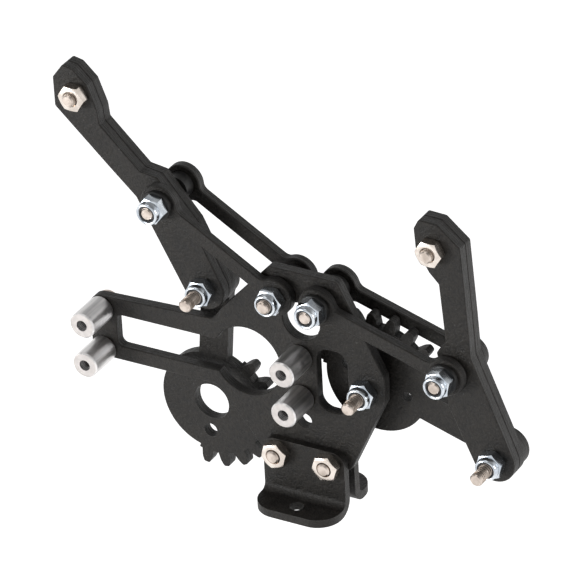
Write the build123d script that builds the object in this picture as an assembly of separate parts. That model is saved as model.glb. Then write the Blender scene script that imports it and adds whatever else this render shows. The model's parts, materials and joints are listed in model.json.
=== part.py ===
from build123d import *
from math import acos, atan2, cos, degrees, hypot, pi, radians, sin, sqrt
import os

# Sheet metal and fit sizes, all in millimetres
PLATE = 2.5             # palm, finger and gear plates
LINK_T = 2.2            # link bars
BRACKET_T = 1.9         # both brackets
EDGE = 0.2              # broken edge on every plate
BOLT_R = 1.5            # M3
CLEAR_R = 1.7           # hole for a clamped M3 bolt
RUN_FIT = 0.06          # radial, link or gear on its bolt
OPEN_FIT = 0.12         # radial, at the pivot where the right loop is opened
THREAD_FIT = 0.02       # radial, nut or post on its bolt
AXIAL = 0.05            # free play of a turning piece along its bolt

# Four bar linkage
ARM = 31.9              # gear arm and link bar, pivot to pivot
GEAR_X = 15.0           # gear pivots stand this far from the middle
GEAR_Z = -0.1
LINK_DX, LINK_DZ = 9.9, 19.5     # gear pivot to link pivot, lower to middle pivot
TIP_DX, TIP_DZ = 12.85, 48.5     # lower pivot to fingertip bolt
RIGHT_ARM_DEG = -17.4
LEFT_LOW = (-23.8, 15.8)         # lower pivot of the left finger, as it hangs
LEFT_ARM_DEG = -95.2

# Gear sector
MODULE = 1.5
TEETH_ROUND = 20        # teeth a full wheel would have
TEETH = 9
FIRST_TOOTH_DEG = 38.5  # from the arm to the first tooth
BACK_GAP = 2.7          # palm plate to gear
DISC_R = 12.25
TIP_ROUND = 0.38        # tooth tip corners, in modules
ARM_W = 7.0
ARM_END_R = 4.6
ARM_JOIN_R = 3.0
HUB_R = 4.3
HORN_R = 1.65           # screw holes of the servo gear
SMALL_R = 1.15          # the same pair in the bolted gear
HORN_DX = 7.6

# Links
LINK_W = 3.2
LINK_END_R = 4.3
LINK_JOIN_R = 2.0
LINK_GAP = 0.15         # front link to plate face
BACK_LINK_GAP = 0.2     # back link to gear

# Finger outline about its lower pivot, right hand, with a lobe round the pivot
LOBE_R = 4.9
FINGER_POINTS = [(-10.5, 11.3), (-12.8, 23.7), (-10.6, 27.3), (-11.7, 40.5), (-13.9, 42.8), (-16.9, 48.1),
                 (-17.2, 52.7), (-16.0, 55.0), (-11.7, 54.8), (-6.4, 50.3), (-5.2, 32.9), (-4.7, 24.2)]
FINGER_ROUND = 0.7

# Palm plate
FORK_END_X = -53.2
FORK_TOP_Z, FORK_LOW_Z = 7.7, -7.5
FORK_ROOT_X, FORK_RISE = -21.9, 1.2
SHOULDER_X, SHOULDER_Z = -19.35, 12.6
TOP_X0, TOP_X1, TOP_Z = -7.3, 9.2, 25.5
SIDE_X, SIDE_Z0, SIDE_Z1 = 19.7, -1.7, 4.5
LOW_X0, LOW_X1, LOW_Z = -11.0, 10.6, -21.1
FORK_ROUND, PALM_ROUND = 3.0, 1.4
WINDOW_END_X = -46.6
WINDOW_HALF = 3.93
WINDOW_ROUND = 1.5
SERVO_X, SERVO_Z, SERVO_R = -14.0, 0.3, 8.25
SLOT_X0, SLOT_X1, SLOT_Z0, SLOT_Z1 = 3.3, 10.9, -7.35, 8.05
SLOT_ROUND = 3.0
BIG_HOLE_Z, BIG_HOLE_R = 13.6, 4.5
SMALL_HOLE_X, SMALL_HOLE_Z, SMALL_HOLE_R = -0.35, -11.25, 1.7

# Servo posts
POST_X0 = -50.1
POST_PITCH_X, POST_PITCH_Z = 49.5, 10.0
POST_MID_Z = -0.3
POST_R, POST_L = 3.05, 8.5
POST_THREAD_R = 1.3     # tapped mouth, at the thread's inner size
POST_SCREW_TIP = 2.0    # screw end inside a post
POST_LOW_BORE, POST_TOP_BORE = 2.4, 5.0     # thread depths, with a web between

# Brackets
BRACKET_HALF = 10.0
BRACKET_TOP_Z = -16.4
FLANGE_LOW_Z = -31.5
FLANGE_FRONT = 9.6
FLANGE_HOLE_N = 5.9
FLANGE_HOLE_R = 1.6
BEND_R = 1.6
BRACKET_ROUND, FLANGE_ROUND = 3.0, 5.5
BRACKET_BOLT_X, BRACKET_BOLT_Z = 6.25, -19.6
SINK_GAP = 0.03         # sunk bolt head to its seat

# Fasteners
NUT_AF = 5.5
NUT_H = 2.4
LOCK_NUT_H = 4.0
HEAD_R, HEAD_H = 2.85, 1.65
COUNTERSUNK_R = 2.8
SOCKET_AF = 2.0
SPACER_R = 2.9
WASHER_R, WASHER_H = 3.4, 1.0
LONG_TIP = 8.3          # bolt end in front of the palm face at the gear arms

# Depths toward the viewer, palm face at nought
GEAR_FRONT = -PLATE - BACK_GAP
GEAR_BACK = GEAR_FRONT - PLATE
FINGER_BACK = -2 * PLATE
BACK_LINK_FRONT = GEAR_BACK - BACK_LINK_GAP
BACK_LINK_BACK = BACK_LINK_FRONT - LINK_T
LINK_BACK = LINK_GAP
LINK_FRONT = LINK_GAP + LINK_T
FLANGE_TOP_Z = FLANGE_LOW_Z + BRACKET_T
RUN_R = BOLT_R + RUN_FIT
PITCH_R = MODULE * TEETH_ROUND / 2
BASE_R = PITCH_R * cos(radians(20))
TIP_R = PITCH_R + 0.87 * MODULE
ROOT_R = PITCH_R - 1.25 * MODULE
# Drawing plane: across, up and toward the viewer, set so the origin is the flange hole
FRAME = Plane(origin=(0, FLANGE_HOLE_N, -FLANGE_LOW_Z), x_dir=(1, 0, 0), z_dir=(0, -1, 0)).location


def turn(x, z, deg):
    a = radians(deg)
    return x * cos(a) - z * sin(a), x * sin(a) + z * cos(a)


def plus(p, q):
    return p[0] + q[0], p[1] + q[1]


# The left hand crossing of two circles, as links of two lengths meet
def meet(p, r, q, s):
    dx, dz = q[0] - p[0], q[1] - p[1]
    d = hypot(dx, dz)
    along = (r * r - s * s + d * d) / (2 * d)
    side = sqrt(r * r - along * along)
    return p[0] + (along * dx + side * dz) / d, p[1] + (along * dz - side * dx) / d


def angle(p, q):
    return degrees(atan2(q[1] - p[1], q[0] - p[0]))


# Pivot places in the drawing plane
RIGHT_GEAR_P = (GEAR_X, GEAR_Z)
RIGHT_LINK_P = (GEAR_X - LINK_DX, GEAR_Z + LINK_DZ)
LEFT_LINK_P = (-RIGHT_LINK_P[0], RIGHT_LINK_P[1])
RIGHT_LOW = plus(RIGHT_GEAR_P, turn(ARM, 0, RIGHT_ARM_DEG))
RIGHT_MID = plus(RIGHT_LOW, (-LINK_DX, LINK_DZ))
LEFT_MID = meet(LEFT_LINK_P, ARM, LEFT_LOW, hypot(LINK_DX, LINK_DZ))
LEFT_LINK_DEG = angle(LEFT_LINK_P, LEFT_MID)
LEFT_FINGER_DEG = angle(LEFT_LOW, LEFT_MID) - angle((0, 0), (LINK_DX, LINK_DZ))
LEFT_HUB = plus(LEFT_LOW, turn(ARM, 0, LEFT_ARM_DEG))
BRACKET_BOLTS = [(-BRACKET_BOLT_X, BRACKET_BOLT_Z), (BRACKET_BOLT_X, BRACKET_BOLT_Z)]
POSTS = [(POST_X0 + i * POST_PITCH_X, POST_MID_Z + s * POST_PITCH_Z / 2) for i in (0, 1) for s in (1, -1)]


def disc(p, r):
    return Pos(p[0], p[1]) * Circle(r)


def sheet(outline, back, front, edge=EDGE):
    solid = Pos(0, 0, back) * extrude(outline, front - back)
    if not edge:
        return solid
    rims = solid.faces().sort_by(Axis.Z)
    return chamfer(rims[0].edges() + rims[-1].edges(), edge)


def rod(p, r, back, front):
    return Pos(p[0], p[1], back) * extrude(Circle(r), front - back)


def ring(p, r, hole, back, front):
    return rod(p, r, back, front) - rod(p, hole, back - 1, front + 1)


def polygon(points):
    return make_face(Polyline(*points, close=True))


# Plates
def palm_outline():
    pts = [(FORK_END_X, FORK_TOP_Z), (FORK_ROOT_X, FORK_TOP_Z + FORK_RISE), (SHOULDER_X, SHOULDER_Z),
           (TOP_X0, TOP_Z), (TOP_X1, TOP_Z), (SIDE_X, SIDE_Z1), (SIDE_X, SIDE_Z0), (LOW_X1, LOW_Z),
           (LOW_X0, LOW_Z), (FORK_ROOT_X, FORK_LOW_Z), (FORK_END_X, FORK_LOW_Z)]
    face = polygon(pts)
    face = fillet(face.vertices().sort_by(Axis.X)[:2], FORK_ROUND)
    inner = [v for v in face.vertices() if v.X > FORK_ROOT_X - 1]
    return fillet(inner, PALM_ROUND)


def servo_window():
    end = WINDOW_END_X
    slot = Pos((end + SERVO_X) / 2, 0) * Rectangle(SERVO_X - end, 2 * WINDOW_HALF)
    slot = fillet([v for v in slot.vertices() if v.X < end + 1], WINDOW_ROUND)
    return slot + disc((SERVO_X, SERVO_Z), SERVO_R)


def palm_plate():
    slot = Pos((SLOT_X0 + SLOT_X1) / 2, (SLOT_Z0 + SLOT_Z1) / 2) * RectangleRounded(
        SLOT_X1 - SLOT_X0, SLOT_Z1 - SLOT_Z0, SLOT_ROUND)
    face = palm_outline() - servo_window() - slot - disc((0, BIG_HOLE_Z), BIG_HOLE_R)
    face -= disc((SMALL_HOLE_X, SMALL_HOLE_Z), SMALL_HOLE_R)
    for p in [RIGHT_GEAR_P, RIGHT_LINK_P, LEFT_LINK_P]:
        face -= disc(p, RUN_R)
    for p in POSTS + BRACKET_BOLTS:
        face -= disc(p, CLEAR_R)
    return sheet(face, -PLATE, 0)


# Bracket: one sheet against the palm, folded outward into a flange
def bracket():
    side = Polyline((BRACKET_TOP_Z, 0), (FLANGE_LOW_Z, 0), (FLANGE_LOW_Z, FLANGE_FRONT),
                    (FLANGE_TOP_Z, FLANGE_FRONT), (FLANGE_TOP_Z, BRACKET_T),
                    (BRACKET_TOP_Z, BRACKET_T), close=True)
    solid = extrude(Plane.YZ * make_face(side), BRACKET_HALF, both=True)
    folds = solid.edges().filter_by(Axis.X)
    inner = folds.sort_by_distance((0, FLANGE_TOP_Z, BRACKET_T))[0]
    solid = fillet(inner, BEND_R)
    folds = solid.edges().filter_by(Axis.X)
    outer = folds.sort_by_distance((0, FLANGE_LOW_Z, 0))[0]
    solid = fillet(outer, BEND_R + BRACKET_T)
    top = solid.edges().filter_by(Axis.Z).group_by(Axis.Y)[-1]
    solid = fillet(top, BRACKET_ROUND)
    front = solid.edges().filter_by(Axis.Y).group_by(Axis.Z)[-1]
    solid = fillet(front, FLANGE_ROUND)
    solid -= Pos(0, FLANGE_LOW_Z - 1, FLANGE_HOLE_N) * Rot(-90, 0, 0) * extrude(Circle(FLANGE_HOLE_R), 6)
    for p in BRACKET_BOLTS:
        solid -= rod(p, CLEAR_R, -1, BRACKET_T + 1)
    return solid


# The rear bracket is the same sheet turned to the back, with sunk bolt heads
def rear_bracket():
    solid = Pos(0, 0, -PLATE) * mirror(bracket(), Plane.XY)
    for p in BRACKET_BOLTS:
        solid -= screw_cone(p, -PLATE - BRACKET_T, SINK_GAP)
    return solid


def screw_cone(p, back, clear):
    depth = COUNTERSUNK_R - BOLT_R
    cone = Cone(COUNTERSUNK_R + clear, BOLT_R + clear, depth)
    return Pos(p[0], p[1], back + depth / 2) * cone


# Gear sector with involute teeth
def involute(r):
    return sqrt((r / BASE_R) ** 2 - 1) - acos(BASE_R / r)


def tooth(deg):
    half = pi / (2 * TEETH_ROUND)
    radii = [BASE_R + (0.02 + 0.245 * i) * (TIP_R - BASE_R) for i in range(5)]
    start = involute(PITCH_R)
    flank = [(r, half + start - involute(r)) for r in radii]
    root = flank[0][1] + 0.03
    low = ROOT_R - 0.5 * MODULE
    right = [(low, -root)] + [(r, -a) for r, a in flank]
    left = [(r, a) for r, a in reversed(flank)] + [(low, root)]
    pts = [(r * cos(a), r * sin(a)) for r, a in right + left]
    face = polygon(pts)
    ends = [v for v in face.vertices() if hypot(v.X, v.Y) > TIP_R - 0.03 * MODULE]
    return Rot(0, 0, deg) * fillet(ends, TIP_ROUND * MODULE)


def wedge(r, start, size):
    mid = [turn(2 * r, 0, start + size * i / 8) for i in range(9)]
    return Circle(r) & polygon([(0, 0)] + mid)


# The arm points along +X; teeth follow counter clockwise, or clockwise when mirrored
def gear_outline(mirrored):
    step = 360 / TEETH_ROUND
    sector = wedge(ROOT_R, FIRST_TOOTH_DEG - step / 2, TEETH * step)
    arm = Pos(ARM / 2, 0) * Rectangle(ARM, ARM_W)
    face = Circle(DISC_R) + sector + arm + disc((ARM, 0), ARM_END_R)
    joins = [v for v in face.vertices() if v.X > ARM / 2 and abs(abs(v.Y) - ARM_W / 2) < 0.01]
    face = fillet(joins, ARM_JOIN_R)
    for k in range(TEETH):
        face += tooth(FIRST_TOOTH_DEG + k * step)
    if mirrored:
        face = mirror(face, Plane.XZ)
    return face


def gear(p, deg, mirrored, hub_r, side_r):
    face = gear_outline(mirrored) - Circle(hub_r) - disc((ARM, 0), RUN_R)
    face = face - disc((HORN_DX, 0), side_r) - disc((-HORN_DX, 0), side_r)
    return Pos(p[0], p[1]) * Rot(0, 0, deg) * sheet(face, GEAR_BACK, GEAR_FRONT, 0)


# Finger plates
# Where a line from p touches the lobe
def touch(p, side):
    a = atan2(p[1], p[0]) + side * acos(LOBE_R / hypot(*p))
    return LOBE_R * cos(a), LOBE_R * sin(a)


def finger_outline():
    inner, outer = touch(FINGER_POINTS[0], 1), touch(FINGER_POINTS[-1], -1)
    lobe = ThreePointArc(outer, (0, -LOBE_R), inner)
    face = make_face([Polyline(inner, *FINGER_POINTS, outer), lobe])
    sharp = [v for v in face.vertices() if v.Y > 2 * LOBE_R]
    return fillet(sharp, FINGER_ROUND)


def finger_plate(back, mirrored, deg, p):
    face = finger_outline() - Circle(RUN_R) - disc((-TIP_DX, TIP_DZ), RUN_R) - disc((-LINK_DX, LINK_DZ), RUN_R)
    if mirrored:
        face = mirror(face, Plane.YZ)
    return Pos(p[0], p[1]) * Rot(0, 0, deg) * sheet(face, back, back + PLATE)


def link_bar(p, deg, back, end_fit):
    bar = Pos(ARM / 2, 0) * Rectangle(ARM, LINK_W)
    face = bar + Circle(LINK_END_R) + disc((ARM, 0), LINK_END_R)
    face = fillet([v for v in face.vertices() if abs(abs(v.Y) - LINK_W / 2) < 0.01], LINK_JOIN_R)
    face = face - Circle(RUN_R) - disc((ARM, 0), BOLT_R + end_fit)
    return Pos(p[0], p[1]) * Rot(0, 0, deg) * sheet(face, back, back + LINK_T)


# Fasteners
def hex_nut(p, back, height, deg=0.0):
    body = extrude(RegularPolygon(NUT_AF / 2, 6, major_radius=False, rotation=deg), height)
    crown = extrude(Circle(NUT_AF / 2 + 0.28), height)
    crown = chamfer(crown.edges(), 0.3)
    return Pos(p[0], p[1], back) * (body & crown) - rod(p, BOLT_R + THREAD_FIT, back - 1, back + height + 1)


def lock_nut(p, back, deg=0.0):
    collar_r = NUT_AF / 2 - 0.15
    low = hex_nut(p, back, LOCK_NUT_H - 1.1, deg)
    collar = ring(p, collar_r, BOLT_R + THREAD_FIT, back + LOCK_NUT_H - 1.2, back + LOCK_NUT_H)
    rim = collar.edges().group_by(Axis.Z)[-1].sort_by(SortBy.RADIUS)[-1]
    return low + fillet(rim, 0.5)


def bolt(p, under, tip):
    head = extrude(Circle(HEAD_R), HEAD_H)
    head = fillet(head.edges().group_by(Axis.Z)[0], 1.1)
    head -= extrude(RegularPolygon(SOCKET_AF / 2, 6, major_radius=False), 1.0)
    shank = rod((0, 0), BOLT_R, HEAD_H, HEAD_H + tip - under)
    shank = chamfer(shank.edges().group_by(Axis.Z)[-1], 0.35)
    return Pos(p[0], p[1], under - HEAD_H) * (head + shank)


def countersunk(p, back, tip):
    shank = chamfer(rod(p, BOLT_R, back + 0.5, tip).edges().group_by(Axis.Z)[-1], 0.35)
    socket = Pos(p[0], p[1], back) * extrude(RegularPolygon(SOCKET_AF / 2, 6, major_radius=False), 0.9)
    return shank + screw_cone(p, back, 0) - socket


def post(p):
    solid = rod(p, POST_R, 0, POST_L)
    solid = chamfer(solid.edges(), 0.3)
    solid -= rod(p, BOLT_R + THREAD_FIT, -1, POST_LOW_BORE)
    return solid - rod(p, POST_THREAD_R, POST_L - POST_TOP_BORE, POST_L + 1)


def save(name, solids):
    group = solids if isinstance(solids, list) else [solids]
    moved = [FRAME * s for piece in group for s in piece.solids()]
    shape = moved[0] if len(moved) == 1 else Compound(label=name, children=moved)
    export_step(shape, f"parts/{name}.step")


# Palm
def make_palm():
    save("palm_plate", palm_plate())
    save("front_bracket", bracket())
    save("rear_bracket", rear_bracket())
    save("bracket_bolts", [countersunk(p, -PLATE - BRACKET_T, BRACKET_T + NUT_H + 0.5) for p in BRACKET_BOLTS])
    save("bracket_nuts", [hex_nut(p, BRACKET_T, NUT_H, 8 + 20 * i) for i, p in enumerate(BRACKET_BOLTS)])
    save("servo_posts", [post(p) for p in POSTS])
    save("post_screws", [bolt(p, -PLATE, POST_SCREW_TIP) for p in POSTS])
    save("gear_pivot_bolt", bolt(RIGHT_GEAR_P, GEAR_BACK - AXIAL, LONG_TIP))
    save("gear_pivot_nut", lock_nut(RIGHT_GEAR_P, 0, 12))
    save("gear_pivot_spacer", ring(RIGHT_GEAR_P, SPACER_R, RUN_R, GEAR_FRONT + AXIAL, -PLATE))
    links = [LEFT_LINK_P, RIGHT_LINK_P]
    lift = [0, WASHER_H]
    tips = [LINK_FRONT + 2 * AXIAL + LOCK_NUT_H + h - 0.1 for h in lift]
    save("link_pivot_bolts", [bolt(p, BACK_LINK_BACK - AXIAL, t) for p, t in zip(links, tips)])
    save("link_pivot_nuts", [lock_nut(p, LINK_FRONT + 2 * AXIAL + h, 25 * i + 5)
                             for i, (p, h) in enumerate(zip(links, lift))])
    save("link_pivot_spacers", [ring(p, SPACER_R, RUN_R, BACK_LINK_FRONT + AXIAL, -PLATE) for p in links])
    save("link_pivot_washer", ring(RIGHT_LINK_P, WASHER_R, RUN_R, LINK_FRONT + 2 * AXIAL,
                                   LINK_FRONT + 2 * AXIAL + WASHER_H))


# One finger and what is bolted to it
def make_finger(side, low, mid, deg, mirrored):
    sign = 1 if mirrored else -1
    tip = plus(low, turn(sign * TIP_DX, TIP_DZ, deg))
    save(f"{side}_finger_front_plate", finger_plate(-PLATE, mirrored, deg, low))
    save(f"{side}_finger_back_plate", finger_plate(-2 * PLATE, mirrored, deg, low))
    save(f"{side}_arm_bolt", bolt(low, GEAR_BACK - AXIAL, LONG_TIP))
    save(f"{side}_arm_nut", lock_nut(low, 0, deg + 17))
    save(f"{side}_arm_washer", ring(low, SPACER_R, RUN_R, GEAR_FRONT + AXIAL, FINGER_BACK))
    face = LINK_FRONT + 2 * AXIAL
    under = face + WASHER_H
    save(f"{side}_link_washer", ring(mid, WASHER_R, RUN_R, face, under))
    save(f"{side}_link_bolt", bolt(mid, BACK_LINK_BACK - AXIAL, under + LOCK_NUT_H - 0.1))
    save(f"{side}_link_nut", lock_nut(mid, under, deg + 3))
    save(f"{side}_link_spacer", ring(mid, SPACER_R, RUN_R, BACK_LINK_FRONT + AXIAL, FINGER_BACK))
    save(f"{side}_tip_bolt", bolt(tip, FINGER_BACK, NUT_H + 0.5))
    save(f"{side}_tip_nut", hex_nut(tip, 0, NUT_H, deg + 10))


def make_links(side, p, deg, end_fit):
    save(f"{side}_front_link", link_bar(p, deg, LINK_BACK, end_fit))
    save(f"{side}_back_link", link_bar(p, deg, BACK_LINK_BACK, end_fit))


os.makedirs("parts", exist_ok=True)
make_palm()
save("right_gear", gear(RIGHT_GEAR_P, RIGHT_ARM_DEG, False, RUN_R, SMALL_R))
save("left_gear", gear(LEFT_HUB, LEFT_ARM_DEG + 180, True, HUB_R, HORN_R))
make_links("right", RIGHT_LINK_P, RIGHT_ARM_DEG, OPEN_FIT)
make_links("left", LEFT_LINK_P, LEFT_LINK_DEG, RUN_FIT)
make_finger("right", RIGHT_LOW, RIGHT_MID, 0, False)
make_finger("left", LEFT_LOW, LEFT_MID, LEFT_FINGER_DEG, True)
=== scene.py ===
import json
import math
import bmesh
import bpy
from mathutils import Matrix, Vector

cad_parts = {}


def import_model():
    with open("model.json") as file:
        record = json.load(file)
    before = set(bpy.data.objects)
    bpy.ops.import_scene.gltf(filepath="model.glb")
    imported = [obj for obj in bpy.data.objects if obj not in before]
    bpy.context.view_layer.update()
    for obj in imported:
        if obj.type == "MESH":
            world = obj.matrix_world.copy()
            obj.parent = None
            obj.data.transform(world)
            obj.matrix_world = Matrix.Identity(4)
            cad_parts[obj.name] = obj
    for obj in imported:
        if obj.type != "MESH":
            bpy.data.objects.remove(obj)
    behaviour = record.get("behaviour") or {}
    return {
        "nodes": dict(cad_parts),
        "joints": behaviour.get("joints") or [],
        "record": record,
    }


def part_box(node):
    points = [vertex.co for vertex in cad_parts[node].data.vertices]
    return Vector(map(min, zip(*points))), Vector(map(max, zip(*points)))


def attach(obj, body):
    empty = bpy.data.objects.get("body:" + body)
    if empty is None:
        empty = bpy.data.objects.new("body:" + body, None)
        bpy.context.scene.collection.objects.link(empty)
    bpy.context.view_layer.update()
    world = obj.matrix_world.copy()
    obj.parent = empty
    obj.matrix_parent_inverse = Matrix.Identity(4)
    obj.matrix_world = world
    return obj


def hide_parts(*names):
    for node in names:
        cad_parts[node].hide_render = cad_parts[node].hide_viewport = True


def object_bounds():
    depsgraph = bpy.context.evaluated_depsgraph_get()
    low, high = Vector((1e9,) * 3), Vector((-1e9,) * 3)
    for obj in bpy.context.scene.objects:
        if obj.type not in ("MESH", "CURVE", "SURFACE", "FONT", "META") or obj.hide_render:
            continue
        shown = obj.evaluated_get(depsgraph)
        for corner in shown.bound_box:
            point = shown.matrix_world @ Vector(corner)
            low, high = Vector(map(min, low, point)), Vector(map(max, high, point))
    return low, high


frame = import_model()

CAD_BOX = [list(corner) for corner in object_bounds()]
NODES = frame["nodes"]
MM = 0.001

# Sizes in millimetres. Depths run toward the viewer from the palm plate's front face
PALM_Y = 5.9
ROUND_STEPS = 48
# How far a cutting shape runs past the one that it cuts
PAST = 1.0

# Button head bolts: the dome's radius at each height over its flat top, the upright rim, and the socket
BOLT_R = 1.5
HEAD_R = 2.85
HEAD_H = 1.65
DOME = [(1.2, 0.0), (1.9, 0.1), (2.45, 0.4), (2.78, 0.9)]
RIM_H = 0.2
SOCKET_R = 1.155
SOCKET_DEEP = 1.0

# Threads: a ridge on a thinner root, from just inside the nut's face to just short of the tip
ROOT_R = 1.40
ROOT_STEP = 0.1
PITCH = 0.5
RIDGE = 0.10
RIDGE_SIDES = 4
STEPS_PER_TURN = 36
THREAD_INSET = 0.3
TIP_CHAMFER = 0.25

# Hex nuts: the radius of the crown's flat ring, and its chamfers at the foot and at the face
NUT_AF = 5.5
NUT_CORNER = NUT_AF / math.sqrt(3)
NUT_H = 2.4
CROWN_R = 2.62
CROWN_GAP = 0.02
FOOT_CHAMFER = 0.3
FACE_CHAMFER = 0.33
NUT_MOUTH_R = 1.78
NUT_MOUTH_DEEP = 0.5

# Lock nuts: a lower hex with a collar rolled over a nylon insert. Each lip is radius and depth under the top
LOCK_NUT_H = 4.0
LOCK_HEX_H = 2.5
LOCK_BORE_R = 1.9
COLLAR_R = 2.58
COLLAR_FOOT = 2.1
COLLAR_LIP = [(COLLAR_R, 0.55), (2.53, 0.25), (2.36, 0.06), (2.18, 0.0), (2.02, 0.05), (LOCK_BORE_R, 0.22)]
INSERT_R = 1.95
INSERT_BORE_R = 1.53
INSERT_FOOT = 2.3
INSERT_LIP = [(INSERT_R, 0.3), (1.62, 0.26), (INSERT_BORE_R, 0.4)]

# Where each nut's back face sits
ON_PLATE, ON_LINK, ON_WASHER, ON_BRACKET = 0.0, 2.45, 3.45, 1.9
# Where each bolt starts under its head and where its tip stands, and the face of its nut
LONG_BOLT = (-7.75, 8.3, ON_PLATE + LOCK_NUT_H)
LINK_BOLT = (-10.15, 7.35, ON_LINK + LOCK_NUT_H)
TIP_BOLT = (-5.0, 3.5, ON_PLATE + NUT_H)
# Each nut's turn on its bolt in degrees, from the photograph
NUT_TURN = {"gear_pivot_nut": 12, "left_arm_nut": 67, "left_link_nut": 53, "left_tip_nut": 58,
            "right_arm_nut": 17, "right_link_nut": 20, "right_tip_nut": 58}
LINK_PIVOT_TURNS = (5, 30)
BRACKET_NUT_TURNS = (17, 13)
BRACKET_BOLTS = [(-6.25, 11.9), (6.25, 11.9)]

# Servo posts, with a tapped bore at the front
POST_L = 8.5
POST_BORE_R = 1.3
POST_BORE_L = 5.0
TAPPED_RIDGE = 0.16


def in_mm(place):
    return round(place[0] / MM, 3), round(place[2] / MM, 3)


# The link pivots are the palm's joints, and the posts stand at the pattern of their mount
JOINTS = {joint["name"]: in_mm(joint["pos_m"]) for joint in frame["joints"]}
MOUNTS = {mount["name"]: mount for mount in frame["record"]["mounts"]}
LINK_PIVOTS = [JOINTS["left_links_turn"], JOINTS["right_links_turn"]]
POST_PATTERN = MOUNTS["servo_posts"]["dims"]
HALF_ACROSS, HALF_UP = POST_PATTERN["spacing_x_mm"] / 2, POST_PATTERN["spacing_y_mm"] / 2
POST_ACROSS, POST_UP = in_mm(MOUNTS["servo_posts"]["pos_m"])
POSTS = [(POST_ACROSS + side * HALF_ACROSS, POST_UP + end * HALF_UP) for side in (-1, 1) for end in (1, -1)]


# A value in a node tree, with the operators that the materials use
class Field:
    def __init__(self, paint, socket):
        self.paint, self.socket = paint, socket

    def math(self, operation, first, second=0.0):
        return self.paint.node("ShaderNodeMath", {"operation": operation}, {0: first, 1: second})

    def __add__(self, other):
        return self.math("ADD", self, other)

    def __radd__(self, other):
        return self.math("ADD", other, self)

    def __sub__(self, other):
        return self.math("SUBTRACT", self, other)

    def __rsub__(self, other):
        return self.math("SUBTRACT", other, self)

    def __mul__(self, other):
        return self.math("MULTIPLY", self, other)

    def __rmul__(self, other):
        return self.math("MULTIPLY", other, self)

    def __abs__(self):
        return self.math("ABSOLUTE", self)

    # Rises smoothly from 0 at the low value to 1 at the high one
    def ramp(self, low, high):
        settings = {"interpolation_type": "SMOOTHSTEP"}
        return self.paint.node("ShaderNodeMapRange", settings, {0: self, 1: low, 2: high, 3: 0.0, 4: 1.0})


# The node tree of a material or a world
class Paint:
    def __init__(self, owner):
        self.owner = owner
        owner.use_nodes = True
        self.tree = owner.node_tree
        self.tree.nodes.clear()

    def node(self, kind, settings=None, sockets=None, output=0):
        made = self.tree.nodes.new(kind)
        for key, value in (settings or {}).items():
            setattr(made, key, value)
        for key, value in (sockets or {}).items():
            if isinstance(value, Field):
                self.tree.links.new(value.socket, made.inputs[key])
            else:
                made.inputs[key].default_value = value
        return Field(self, made.outputs[output])

    def place(self, stretch=None):
        here = self.node("ShaderNodeTexCoord", output="Object")
        if stretch is None:
            return here
        return self.node("ShaderNodeVectorMath", {"operation": "MULTIPLY"}, {0: here, 1: stretch})

    def noise(self, scale, detail, stretch=None):
        sockets = {"Vector": self.place(stretch), "Scale": scale, "Detail": detail}
        return self.node("ShaderNodeTexNoise", {}, sockets)

    def facing(self, axis):
        normal = self.node("ShaderNodeNewGeometry", output="Normal")
        return self.node("ShaderNodeSeparateXYZ", {}, {0: normal}, axis)

    # Inputs 6 and 7 and output 2 are the Mix node's colours
    def mix(self, factor, first, second):
        colours = {6: first, 7: second}
        sockets = {key: (*value, 1) if isinstance(value, tuple) else value for key, value in colours.items()}
        return self.node("ShaderNodeMix", {"data_type": "RGBA"}, {0: factor, **sockets}, 2)

    # Rises where the surface turns within the given width
    def worn_edge(self, width):
        soft = self.node("ShaderNodeBevel", {"samples": 6}, {"Radius": width})
        flat = self.node("ShaderNodeNewGeometry", output="Normal")
        turn = self.node("ShaderNodeVectorMath", {"operation": "DOT_PRODUCT"}, {0: soft, 1: flat}, "Value")
        return 1.0 - turn

    def bump(self, height, distance, strength=1.0):
        sockets = {"Height": height, "Distance": distance, "Strength": strength}
        return self.node("ShaderNodeBump", {}, sockets)

    def finish(self, **sockets):
        named = {key.replace("_", " "): value for key, value in sockets.items()}
        shader = self.node("ShaderNodeBsdfPrincipled", {}, named)
        return self.output("ShaderNodeOutputMaterial", shader)

    def output(self, kind, shader):
        out = self.tree.nodes.new(kind)
        self.tree.links.new(shader.socket, out.inputs["Surface"])
        return self.owner


def material(name):
    return Paint(bpy.data.materials.new(name))


# Black coating: sandy grain, faint mottling, pale specks, worn corners, and streaks on the cut edges, which
# are also painted a lighter grey as sheen
def black_coat(name, streaks_and_sheen):
    pit, crest = (0.0030, 0.0025, 0.0021), (0.0270, 0.0236, 0.0200)
    cut_edge_sheen_grey, speck_grey, worn_grey = (0.050, 0.049, 0.048), (0.14, 0.135, 0.13), (0.17, 0.165, 0.16)
    paint = material(name)
    grain = paint.noise(scale=2300, detail=3)
    cloud = paint.noise(scale=110, detail=3)
    mottle = paint.noise(scale=800, detail=3)
    specks = paint.noise(scale=1300, detail=1).ramp(0.74, 0.82)
    cut_edge = (1.0 - abs(paint.facing("Y")).ramp(0.25, 0.75)) * streaks_and_sheen
    lines = paint.noise(scale=700, detail=2, stretch=(0.25, 6.0, 0.25)).ramp(0.3, 0.7)
    patches = paint.noise(scale=240, detail=3).ramp(0.42, 0.64)
    wear = paint.worn_edge(width=0.0004).ramp(0.02, 0.25) * patches
    shade = 0.25 * cloud.ramp(0.3, 0.7) + 0.35 * mottle.ramp(0.36, 0.64) + 0.40 * grain.ramp(0.36, 0.64)
    base = paint.mix(shade, pit, crest)
    # Cut edges painted a lighter grey as sheen, broken by the streak lines along them
    base = paint.mix(cut_edge * (0.10 + 0.65 * lines), base, cut_edge_sheen_grey)
    base = paint.mix(specks * 0.3, base, speck_grey)
    base = paint.mix(wear * 0.45, base, worn_grey)
    relief = 1.2 * grain + 0.6 * mottle + 0.7 * (cut_edge * lines)
    return paint.finish(Base_Color=base, Roughness=0.50 + 0.30 * (mottle - 0.5), Specular_IOR_Level=0.29,
                        Normal=paint.bump(relief, distance=0.00017, strength=0.9))


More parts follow.
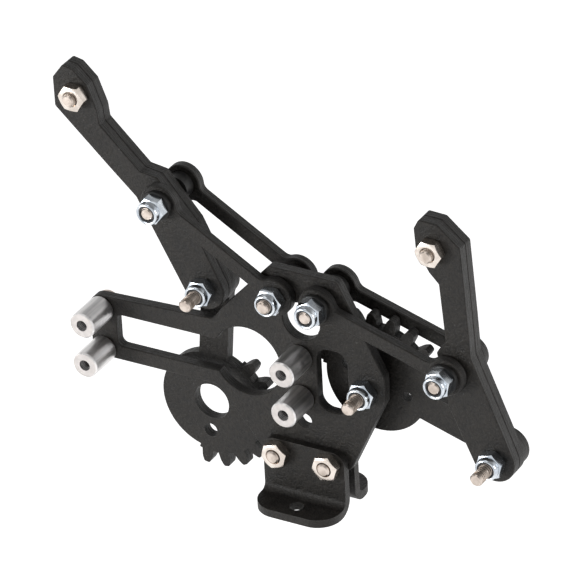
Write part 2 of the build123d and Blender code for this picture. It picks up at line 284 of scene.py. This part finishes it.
# Bare and plated metal of nuts, bolts, threads and tapped bores
def plated(name, dark, light, rough):
    paint = material(name)
    cloud = paint.noise(scale=420, detail=3)
    fine = paint.noise(scale=2400, detail=2)
    base = paint.mix(cloud.ramp(0.35, 0.65), dark, light)
    return paint.finish(Base_Color=base, Roughness=rough + 0.14 * (cloud - 0.5), Metallic=1.0,
                        Normal=paint.bump(fine, distance=0.00002, strength=0.35))


# Turned aluminium: lengthwise streaks along the post painted lighter and darker as bands of sheen, fine
# rings left by the tool, a few scratches, duller end faces
def turned_metal():
    dark, light = (0.62, 0.61, 0.61), (0.86, 0.84, 0.83)
    scratch_grey, end_grey = (0.40, 0.40, 0.41), (0.53, 0.495, 0.475)
    paint = material("turned aluminium")
    rings = paint.noise(scale=1500, detail=1, stretch=(0.05, 4.0, 0.05))
    streaks_and_sheen = paint.noise(scale=900, detail=2, stretch=(1.0, 0.04, 1.0))
    scratches = paint.noise(scale=500, detail=2, stretch=(1.0, 0.5, 1.0)).ramp(0.64, 0.70)
    end_face = abs(paint.facing("Y")).ramp(0.80, 0.95)
    # The streaks paint lengthwise bands of sheen into the colour
    base = paint.mix(streaks_and_sheen.ramp(0.35, 0.65), dark, light)
    base = paint.mix(scratches * 0.35, base, scratch_grey)
    base = paint.mix(end_face * 0.8, base, end_grey)
    return paint.finish(Base_Color=base, Roughness=0.38 + 0.14 * (streaks_and_sheen - 0.5), Metallic=1.0,
                        Normal=paint.bump(rings, distance=0.00006))


def black_nylon(name, dark, light):
    paint = material(name)
    cloud = paint.noise(scale=900, detail=2)
    base = paint.mix(cloud.ramp(0.3, 0.7), dark, light)
    return paint.finish(Base_Color=base, Roughness=0.45 + 0.15 * (cloud - 0.5), Specular_IOR_Level=0.35,
                        Normal=paint.bump(cloud, distance=0.00002, strength=0.3))


# One finish for each material slot of the record
FINISH = {
    "black_plate": black_coat("black coat", streaks_and_sheen=1.0),
    "turned_post": turned_metal(),
    "zinc_lock_nut": plated("bluish zinc", (0.46, 0.50, 0.55), (0.68, 0.72, 0.76), rough=0.20),
    "nickel_nut": plated("warm nickel", (0.62, 0.555, 0.50), (0.80, 0.73, 0.67), rough=0.24),
    "bolt_steel": plated("bolt steel", (0.46, 0.395, 0.345), (0.66, 0.58, 0.52), rough=0.30),
    "spacer": black_nylon("black nylon", (0.010, 0.010, 0.010), (0.020, 0.019, 0.018)),
}
# Finishes within a piece, then of nodes that look unlike their slot: folded sheet and black washers
# Thread ridges painted darker than the shank, as the shade between the turns
SHADED_THREAD_STEEL = plated("thread steel", (0.30, 0.26, 0.225), (0.48, 0.42, 0.37), rough=0.44)
# Thread in the post bores painted dark, as the shade inside the bores
SHADED_TAPPED_METAL = plated("tapped aluminium", (0.17, 0.17, 0.17), (0.32, 0.31, 0.31), rough=0.45)
INSERT = black_nylon("nut insert", (0.020, 0.022, 0.026), (0.035, 0.038, 0.042))
# Folded sheet: less painted sheen and fewer streaks on its cut edges
FOLDED_COAT = black_coat("folded black coat", streaks_and_sheen=0.2)
OTHER_FINISH = {
    "front_bracket": FOLDED_COAT,
    "rear_bracket": FOLDED_COAT,
    "link_pivot_washer": FINISH["spacer"],
    "left_link_washer": FINISH["spacer"],
    "right_link_washer": FINISH["spacer"],
}


def finish_nodes():
    for part in frame["record"]["subparts"]:
        mesh = NODES[part["node"]].data
        mesh.materials.clear()
        mesh.materials.append(OTHER_FINISH.get(part["node"], FINISH[part["material_slot"]]))


def at(across, up, depth):
    return Vector((across * MM, (PALM_Y - depth) * MM, up * MM))


def centre(node):
    low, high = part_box(node)
    return (low.x + high.x) / 2 / MM, (low.z + high.z) / 2 / MM


def linked(name, mesh):
    made = bpy.data.objects.new(name, mesh)
    bpy.context.scene.collection.objects.link(made)
    return made


def evaluated(made):
    ready = made.evaluated_get(bpy.context.evaluated_depsgraph_get())
    return bpy.data.meshes.new_from_object(ready)


def mesh_of(name, shape):
    mesh = bpy.data.meshes.new(name)
    shape.to_mesh(mesh)
    shape.free()
    return mesh


# A shell turned about the bolt axis from points of radius and depth, closed on itself or on the axis
def lathe(name, profile):
    turns = [2 * math.pi * i / ROUND_STEPS for i in range(ROUND_STEPS)]
    shape = bmesh.new()
    rings = []
    for radius, depth in profile:
        ways = [(math.cos(turn), math.sin(turn)) for turn in turns] if radius else [(0, 0)]
        rings.append([shape.verts.new((radius * MM * x, -depth * MM, radius * MM * z)) for x, z in ways])
    closing = rings[:1] if profile[0][0] else []
    for lower, upper in zip(rings, rings[1:] + closing):
        for i in range(ROUND_STEPS):
            corners = [lower[i % len(lower)], lower[(i + 1) % len(lower)],
                       upper[(i + 1) % len(upper)], upper[i % len(upper)]]
            shape.faces.new(list(dict.fromkeys(corners)))
    bmesh.ops.recalc_face_normals(shape, faces=shape.faces)
    return mesh_of(name, shape)


# A six-sided bar along the bolt axis with a corner toward +X
def hexagon(name, corner_r, low, high):
    middle = Matrix.Translation((0, -(low + high) / 2 * MM, 0))
    lie_down = Matrix.Rotation(math.pi / 2, 4, "X")
    corner_across = Matrix.Rotation(math.pi / 6, 4, "Y")
    shape = bmesh.new()
    bmesh.ops.create_cone(shape, cap_ends=True, segments=6, radius1=corner_r * MM, radius2=corner_r * MM,
                          depth=(high - low) * MM, matrix=middle @ corner_across @ lie_down)
    return mesh_of(name, shape)


def carve(mesh, cutter_mesh, operation):
    solid, cutter = linked("solid", mesh), linked("cutter", cutter_mesh)
    step = solid.modifiers.new("carve", "BOOLEAN")
    step.object, step.operation, step.solver = cutter, operation, "EXACT"
    result = evaluated(solid)
    bpy.data.objects.remove(cutter)
    bpy.data.objects.remove(solid)
    return result


# Bolt with a button head, hex socket and plain shank. The thread's root shows past the nut
def bolt_shape(under, tip, face):
    back, start = under - HEAD_H, face - THREAD_INSET
    head = [(0, back)] + [(radius, back + height) for radius, height in DOME]
    head += [(HEAD_R, under - RIM_H), (HEAD_R, under)]
    shank = [(BOLT_R, under), (BOLT_R, start - ROOT_STEP), (ROOT_R, start), (ROOT_R, tip - THREAD_INSET),
             (ROOT_R - TIP_CHAMFER, tip), (0, tip)]
    socket = hexagon("socket", SOCKET_R, back - PAST, back + SOCKET_DEEP)
    return carve(lathe("bolt", head + shank), socket, "DIFFERENCE")


# Hex ring with both faces chamfered to a cone
def hex_shape(height, mouth):
    outer = NUT_CORNER + CROWN_GAP
    crown = [(BOLT_R, 0), (CROWN_R, 0), (outer, FOOT_CHAMFER), (outer, height - FACE_CHAMFER),
             (CROWN_R, height), (mouth, height), (BOLT_R, height - NUT_MOUTH_DEEP)]
    return carve(hexagon("hexagon", NUT_CORNER, -PAST, height + PAST), lathe("crown", crown), "INTERSECT")


def lock_nut_shapes():
    collar = [(LOCK_BORE_R, COLLAR_FOOT), (COLLAR_R, COLLAR_FOOT)]
    collar += [(radius, LOCK_NUT_H - under) for radius, under in COLLAR_LIP]
    insert = [(INSERT_BORE_R, INSERT_FOOT), (INSERT_R, INSERT_FOOT)]
    insert += [(radius, LOCK_NUT_H - under) for radius, under in INSERT_LIP]
    return hex_shape(LOCK_HEX_H, LOCK_BORE_R), lathe("collar", collar), lathe("insert", insert)


# Geometry Nodes tree: a small shape set on every point of a mesh and turned by that point's angle
class Tree:
    def __init__(self, name, inputs):
        self.tree = bpy.data.node_groups.new(name, "GeometryNodeTree")
        face = self.tree.interface
        face.new_socket("Geometry", in_out="INPUT", socket_type="NodeSocketGeometry")
        for label, (kind, value) in inputs.items():
            socket = face.new_socket(label, in_out="INPUT", socket_type="NodeSocket" + kind)
            if value is not None:
                socket.default_value = value
        face.new_socket("Geometry", in_out="OUTPUT", socket_type="NodeSocketGeometry")
        self.inputs = self.tree.nodes.new("NodeGroupInput").outputs

    def node(self, kind, settings=None, sockets=None, output=0):
        made = self.tree.nodes.new(kind)
        for key, value in (settings or {}).items():
            setattr(made, key, value)
        for key, value in (sockets or {}).items():
            if isinstance(value, bpy.types.NodeSocket):
                self.tree.links.new(value, made.inputs[key])
            else:
                made.inputs[key].default_value = value
        return made.outputs[output]

    def math(self, operation, first, second):
        return self.node("ShaderNodeMath", {"operation": operation}, {0: first, 1: second})

    def spread(self, shape):
        points, finish = self.inputs["Geometry"], self.inputs["Material"]
        vector = {"data_type": "FLOAT_VECTOR"}
        angle = self.node("GeometryNodeInputNamedAttribute", vector, {"Name": "turn"})
        placed = self.node("GeometryNodeInstanceOnPoints", {},
                           {"Points": points, "Instance": shape, "Rotation": angle})
        real = self.node("GeometryNodeRealizeInstances", {}, {"Geometry": placed})
        coloured = self.node("GeometryNodeSetMaterial", {}, {"Geometry": real, "Material": finish})
        out = self.tree.nodes.new("NodeGroupOutput")
        self.tree.links.new(coloured, out.inputs[0])
        return self.tree


# One thread ridge wound along the bolt, with its sizes in millimetres
def thread_tree():
    tree = Tree("thread ridge", {
        "Radius": ("Float", ROOT_R),
        "Length": ("Float", POST_BORE_L),
        "Pitch": ("Float", PITCH),
        "Ridge": ("Float", RIDGE),
        "Material": ("Material", None),
    })
    turns = tree.math("DIVIDE", tree.inputs["Length"], tree.inputs["Pitch"])
    radius, height, ridge = (tree.math("MULTIPLY", tree.inputs[size], MM)
                             for size in ("Radius", "Length", "Ridge"))
    coil = tree.node("GeometryNodeCurveSpiral", {}, {
        "Resolution": STEPS_PER_TURN, "Rotations": turns, "Start Radius": radius, "End Radius": radius,
        "Height": height})
    section = tree.node("GeometryNodeCurvePrimitiveCircle", {}, {"Resolution": RIDGE_SIDES, "Radius": ridge})
    wound = tree.node("GeometryNodeCurveToMesh", {},
                      {"Curve": coil, "Profile Curve": section, "Fill Caps": True})
    toward_viewer = (math.radians(90), 0, 0)
    turned = tree.node("GeometryNodeTransform", {}, {"Geometry": wound, "Rotation": toward_viewer})
    return tree.spread(turned)


def copies_tree():
    tree = Tree("copies on points", {"Shape": ("Object", None), "Material": ("Material", None)})
    shape = tree.node("GeometryNodeObjectInfo", {}, {"Object": tree.inputs["Shape"]}, "Geometry")
    return tree.spread(shape)


THREAD = thread_tree()
COPIES = copies_tree()


# Runs a tree on points given as across, up, depth and turn in degrees, and returns the plain mesh
def grown(tree, points, **values):
    mesh = bpy.data.meshes.new("points")
    mesh.from_pydata([at(across, up, depth) for across, up, depth, _ in points], [], [])
    turn = mesh.attributes.new("turn", "FLOAT_VECTOR", "POINT")
    for i, (_, _, _, angle) in enumerate(points):
        turn.data[i].vector = (0, -math.radians(angle), 0)
    carrier = linked("points", mesh)
    modifier = carrier.modifiers.new("grown", "NODES")
    modifier.node_group = tree
    for item in tree.interface.items_tree:
        if item.in_out == "INPUT" and item.name in values:
            modifier[item.identifier] = values[item.name]
    result = evaluated(carrier)
    bpy.data.objects.remove(carrier)
    result.materials.clear()
    result.materials.append(values["Material"])
    return result


def copied(mesh, points, finish):
    shape = linked("shape", mesh)
    result = grown(COPIES, points, Shape=shape, Material=finish)
    bpy.data.objects.remove(shape)
    return result


# Joins meshes into one piece that stands for a CAD node or adds to it, and keeps each mesh's own finish
def piece(name, meshes, slot, body, *replaced):
    finishes = list(dict.fromkeys(mesh.materials[0] for mesh in meshes))
    joined = bmesh.new()
    for mesh in meshes:
        start = len(joined.faces)
        joined.from_mesh(mesh)
        joined.faces.ensure_lookup_table()
        for face in joined.faces[start:]:
            face.material_index = finishes.index(mesh.materials[0])
    whole = mesh_of(name, joined)
    for finish in finishes:
        whole.materials.append(finish)
    whole.shade_smooth()
    whole.set_sharp_from_angle(angle=math.radians(33))
    made = linked(name, whole)
    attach(made, body)
    if replaced:
        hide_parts(*replaced)


def threaded_bolts(node, body, size, places=None):
    under, tip, face = size
    places = places or [centre(node)]
    shanks = [(*place, 0, 0) for place in places]
    starts = [(*place, face - THREAD_INSET, 0) for place in places]
    bolts = copied(bolt_shape(under, tip, face), shanks, FINISH["bolt_steel"])
    ridges = grown(THREAD, starts, Length=tip - face, Material=SHADED_THREAD_STEEL)
    piece(node + "_threaded", [bolts, ridges], "bolt_steel", body, node)


def lock_nuts(node, body, places):
    zinc = FINISH["zinc_lock_nut"]
    finishes = (zinc, zinc, INSERT)
    shells = [copied(shape, places, finish) for shape, finish in zip(lock_nut_shapes(), finishes)]
    piece(node + "_formed", shells, "zinc_lock_nut", body, node)


def plain_nuts(node, body, places):
    nuts = copied(hex_shape(NUT_H, NUT_MOUTH_R), places, FINISH["nickel_nut"])
    piece(node + "_formed", [nuts], "nickel_nut", body, node)


def own_place(nut, back_face):
    return [(*centre(nut), back_face, NUT_TURN[nut])]


def palm_fasteners():
    pivots = zip(LINK_PIVOTS, (ON_LINK, ON_WASHER), LINK_PIVOT_TURNS)
    brackets = zip(BRACKET_BOLTS, BRACKET_NUT_TURNS)
    threaded_bolts("gear_pivot_bolt", "palm", LONG_BOLT)
    threaded_bolts("link_pivot_bolts", "palm", LINK_BOLT, LINK_PIVOTS)
    lock_nuts("gear_pivot_nut", "palm", own_place("gear_pivot_nut", ON_PLATE))
    lock_nuts("link_pivot_nuts", "palm", [(*place, back_face, turn) for place, back_face, turn in pivots])
    plain_nuts("bracket_nuts", "palm", [(*place, ON_BRACKET, turn) for place, turn in brackets])


def finger_fasteners(side):
    body = f"{side}_finger"
    threaded_bolts(f"{side}_arm_bolt", body, LONG_BOLT)
    threaded_bolts(f"{side}_link_bolt", body, LINK_BOLT)
    threaded_bolts(f"{side}_tip_bolt", body, TIP_BOLT)
    lock_nuts(f"{side}_arm_nut", body, own_place(f"{side}_arm_nut", ON_PLATE))
    lock_nuts(f"{side}_link_nut", body, own_place(f"{side}_link_nut", ON_WASHER))
    plain_nuts(f"{side}_tip_nut", body, own_place(f"{side}_tip_nut", ON_PLATE))


# Thread inside the four posts, seen at their mouths, coloured dark as painted shade in the bores
def post_threads():
    starts = [(*place, POST_L - POST_BORE_L, 0) for place in POSTS]
    ridges = grown(THREAD, starts, Radius=POST_BORE_R, Length=POST_BORE_L - THREAD_INSET, Ridge=TAPPED_RIDGE,
                   Material=SHADED_TAPPED_METAL)
    piece("post_threads", [ridges], "turned_post", "palm")


# White studio in metres: a background with a darker ceiling, a low pale floor and three soft lamps
BACK_LEVEL = 0.34
CEILING_SHADE = 0.72
CEILING_EDGE = (0.30, 0.75)
FLOOR_DROP = 0.09
FLOOR_HALF = 1.2
FLOOR_GLOW = 0.82
FLOOR_COLOUR = (0.9, 0.9, 0.9, 1)
LAMP_TARGET = Vector((0, 0, 0.04))
# Each lamp's place, size and power
SOFTBOXES = {
    "front left softbox": ((-0.70, -0.85, 0.02), 0.40, 7.5),
    "right softbox": ((0.95, 0.15, 0.30), 0.40, 4.0),
    "top softbox": ((-0.25, -0.30, 0.90), 0.50, 1.2),
}


def ray_kind(paint, kind):
    return paint.node("ShaderNodeLightPath", output=f"Is {kind} Ray")


def world():
    paint = Paint(bpy.data.worlds.new("white studio"))
    direction = paint.node("ShaderNodeTexCoord", output="Generated")
    up = paint.node("ShaderNodeSeparateXYZ", {}, {0: direction}, "Z")
    sky = 1.0 - up.ramp(*CEILING_EDGE) * CEILING_SHADE
    camera_ray, glossy, passing = (ray_kind(paint, kind) for kind in ("Camera", "Glossy", "Transmission"))
    lighting = (1.0 - camera_ray - glossy - passing) * BACK_LEVEL
    level = camera_ray + passing + sky * (glossy + lighting)
    back = paint.node("ShaderNodeBackground", {}, {"Color": (1, 1, 1, 1), "Strength": level})
    bpy.context.scene.world = paint.output("ShaderNodeOutputWorld", back)


def softbox(name, place, size, power):
    light = bpy.data.lights.new(name, "AREA")
    light.shape = "SQUARE"
    light.size = size
    light.energy = power
    lamp = linked(name, light)
    lamp.location = place
    lamp.rotation_euler = (LAMP_TARGET - Vector(place)).to_track_quat("-Z", "Y").to_euler()


def floor():
    level, half = CAD_BOX[0][2] - FLOOR_DROP, FLOOR_HALF
    corners = [(-half, -half), (half, -half), (half, half), (-half, half)]
    mesh = bpy.data.meshes.new("floor")
    mesh.from_pydata([(x, y, level) for x, y in corners], [], [(0, 1, 2, 3)])
    paint = material("pale floor")
    seen = ray_kind(paint, "Camera") + ray_kind(paint, "Glossy")
    matte = paint.node("ShaderNodeBsdfDiffuse", {}, {"Color": FLOOR_COLOUR})
    glow = paint.node("ShaderNodeEmission", {}, {"Strength": seen * FLOOR_GLOW})
    both = paint.node("ShaderNodeAddShader", {}, {0: matte, 1: glow})
    mesh.materials.append(paint.output("ShaderNodeOutputMaterial", both))
    linked("floor", mesh)


# Camera from the photograph: a long lens above and to the right, with its own right, up and back directions
LENS_MM = 331.4
SENSOR_MM = 36
FAR_CLIP = 20
CAMERA_PLACE = (0.49427, -0.83185, 0.61820)
CAMERA_RIGHT = (0.87256, 0.48631, -0.04641)
CAMERA_UP = (-0.20963, 0.45854, 0.86359)
CAMERA_BACK = (0.44125, -0.74381, 0.50204)


def camera():
    lens = bpy.data.cameras.new("camera")
    lens.lens = LENS_MM
    lens.sensor_width = SENSOR_MM
    lens.clip_end = FAR_CLIP
    eye = linked("camera", lens)
    turn = Matrix((CAMERA_RIGHT, CAMERA_UP, CAMERA_BACK)).transposed().to_4x4()
    eye.matrix_world = Matrix.Translation(CAMERA_PLACE) @ turn
    bpy.context.scene.camera = eye


finish_nodes()
palm_fasteners()
finger_fasteners("left")
finger_fasteners("right")
post_threads()
world()
for name, (place, size, power) in SOFTBOXES.items():
    softbox(name, place, size, power)
floor()
camera()
bpy.context.scene.view_settings.view_transform = "Standard"
